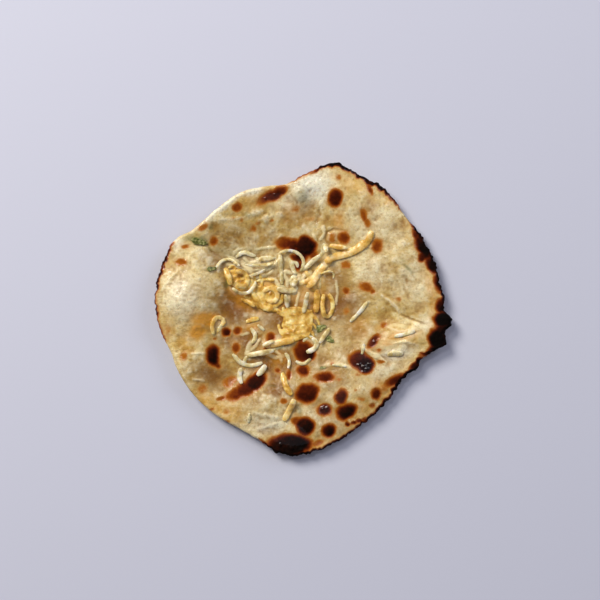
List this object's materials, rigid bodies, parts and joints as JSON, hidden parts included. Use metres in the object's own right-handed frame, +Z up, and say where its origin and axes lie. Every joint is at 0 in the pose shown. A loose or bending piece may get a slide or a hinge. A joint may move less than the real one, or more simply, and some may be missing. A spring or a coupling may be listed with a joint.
{
  "type": "naan bread",
  "caption": "Round tandoor-baked flatbread, puffed and scorched, topped with grated yellow and white cheese and torn coriander leaf; food that lies flat on a plate or board.",
  "frame": {"origin": "on the flat resting patch of the underside, below the middle of the bread", "axes": "+Z up through the thickness; +Y towards the lobe with the crumbly burnt rim; +X towards the two burnt lumps on the rim"},
  "size_m": [0.2028, 0.2025, 0.0183],
  "materials": {
    "baked_dough": "soft baked crust brushed with butter, scorched brown and black in spots",
    "yellow_cheese": "waxy, half melted, slightly translucent",
    "white_cheese": "waxy, half melted, slightly translucent",
    "coriander_leaf": "wilted, dull, slightly oily"
  },
  "bodies": {
    "root": {"naan_bread": "baked_dough", "melted_yellow_cheese_01": "yellow_cheese", "melted_yellow_cheese_02": "yellow_cheese", "coriander_leaf_01": "coriander_leaf", "coriander_leaf_02": "coriander_leaf", "coriander_leaf_03": "coriander_leaf", "coriander_leaf_04": "coriander_leaf", "coriander_leaf_05": "coriander_leaf", "coriander_leaf_06": "coriander_leaf", "yellow_cheese_shred_01": "yellow_cheese", "yellow_cheese_shred_02": "yellow_cheese", "yellow_cheese_shred_03": "yellow_cheese", "yellow_cheese_shred_04": "yellow_cheese", "yellow_cheese_shred_05": "yellow_cheese", "yellow_cheese_shred_06": "yellow_cheese", "yellow_cheese_shred_07": "yellow_cheese", "yellow_cheese_shred_08": "yellow_cheese", "yellow_cheese_shred_09": "yellow_cheese", "yellow_cheese_shred_10": "yellow_cheese", "yellow_cheese_shred_11": "yellow_cheese", "yellow_cheese_shred_12": "yellow_cheese", "yellow_cheese_shred_13": "yellow_cheese", "yellow_cheese_shred_14": "yellow_cheese", "yellow_cheese_shred_15": "yellow_cheese", "yellow_cheese_shred_16": "yellow_cheese", "white_cheese_shred_01": "white_cheese", "white_cheese_shred_02": "white_cheese", "white_cheese_shred_03": "white_cheese", "white_cheese_shred_04": "white_cheese", "white_cheese_shred_05": "white_cheese", "white_cheese_shred_06": "white_cheese", "white_cheese_shred_07": "white_cheese", "white_cheese_shred_08": "white_cheese", "white_cheese_shred_09": "white_cheese", "white_cheese_shred_10": "white_cheese", "white_cheese_shred_11": "white_cheese", "white_cheese_shred_12": "white_cheese", "white_cheese_shred_13": "white_cheese", "white_cheese_shred_14": "white_cheese", "white_cheese_shred_15": "white_cheese", "white_cheese_shred_16": "white_cheese", "white_cheese_shred_17": "white_cheese", "white_cheese_shred_18": "white_cheese", "white_cheese_shred_19": "white_cheese", "white_cheese_shred_20": "white_cheese", "white_cheese_shred_21": "white_cheese", "white_cheese_shred_22": "white_cheese", "white_cheese_shred_23": "white_cheese", "white_cheese_shred_24": "white_cheese", "white_cheese_shred_25": "white_cheese", "white_cheese_shred_26": "white_cheese", "white_cheese_shred_27": "white_cheese", "white_cheese_shred_28": "white_cheese", "white_cheese_shred_29": "white_cheese", "white_cheese_shred_30": "white_cheese", "white_cheese_shred_31": "white_cheese", "white_cheese_shred_32": "white_cheese"}
  },
  "joints": []
}
